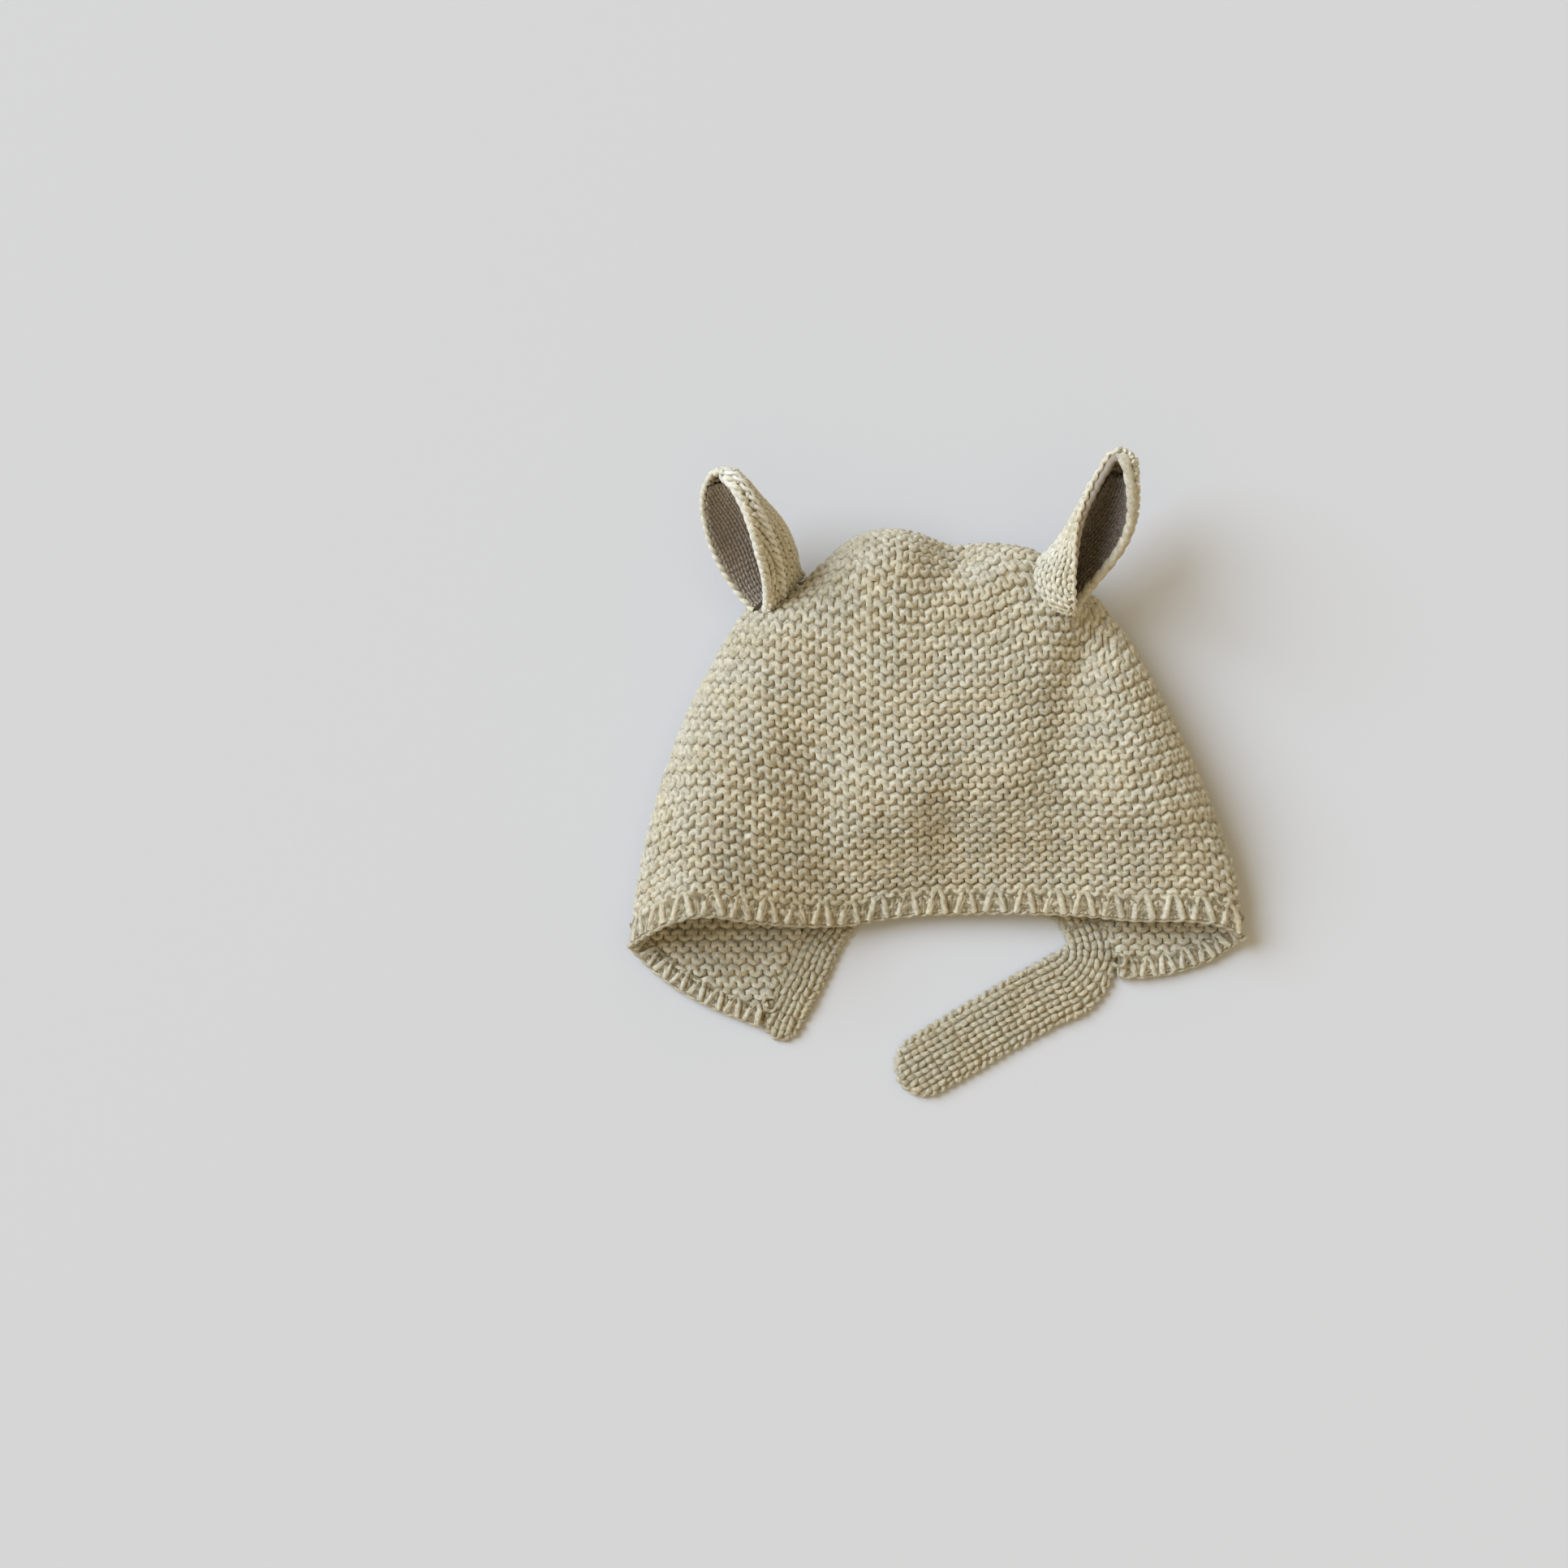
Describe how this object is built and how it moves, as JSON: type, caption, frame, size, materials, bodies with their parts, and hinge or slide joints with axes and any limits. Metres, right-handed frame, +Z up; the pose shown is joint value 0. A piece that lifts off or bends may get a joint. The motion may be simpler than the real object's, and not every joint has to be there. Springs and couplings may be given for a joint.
{
  "type": "knitted baby beanie with rabbit ears",
  "caption": "Hollow garter-knit baby beanie with ribbed hem, ear flaps, nape band, chin strap and cupped rabbit ears, lying on its back.",
  "frame": {"origin": "under the middle of the outline, on the surface that the beanie lies on", "axes": "+X to the right of the lying beanie, +Y from the hem towards the crown, +Z up from the surface"},
  "size_m": [0.1932, 0.1994, 0.0498],
  "materials": {
    "garter_knit": "matte cream wool in garter stitch",
    "ribbed_hem": "matte cream wool in leaning rib stitches",
    "strap_knit": "matte flecked cream wool in stocking stitch",
    "ear_knit": "matte flecked cream wool in stocking stitch",
    "facing_knit": "matte brown fine knit"
  },
  "bodies": {
    "root": {"crown_front": "garter_knit", "crown_back": "garter_knit", "hem_band": "ribbed_hem", "nape_band": "strap_knit", "chin_strap": "strap_knit", "ear_left_shell": "ear_knit", "ear_right_shell": "ear_knit", "ear_left_facing": "facing_knit", "ear_right_facing": "facing_knit"}
  },
  "joints": []
}
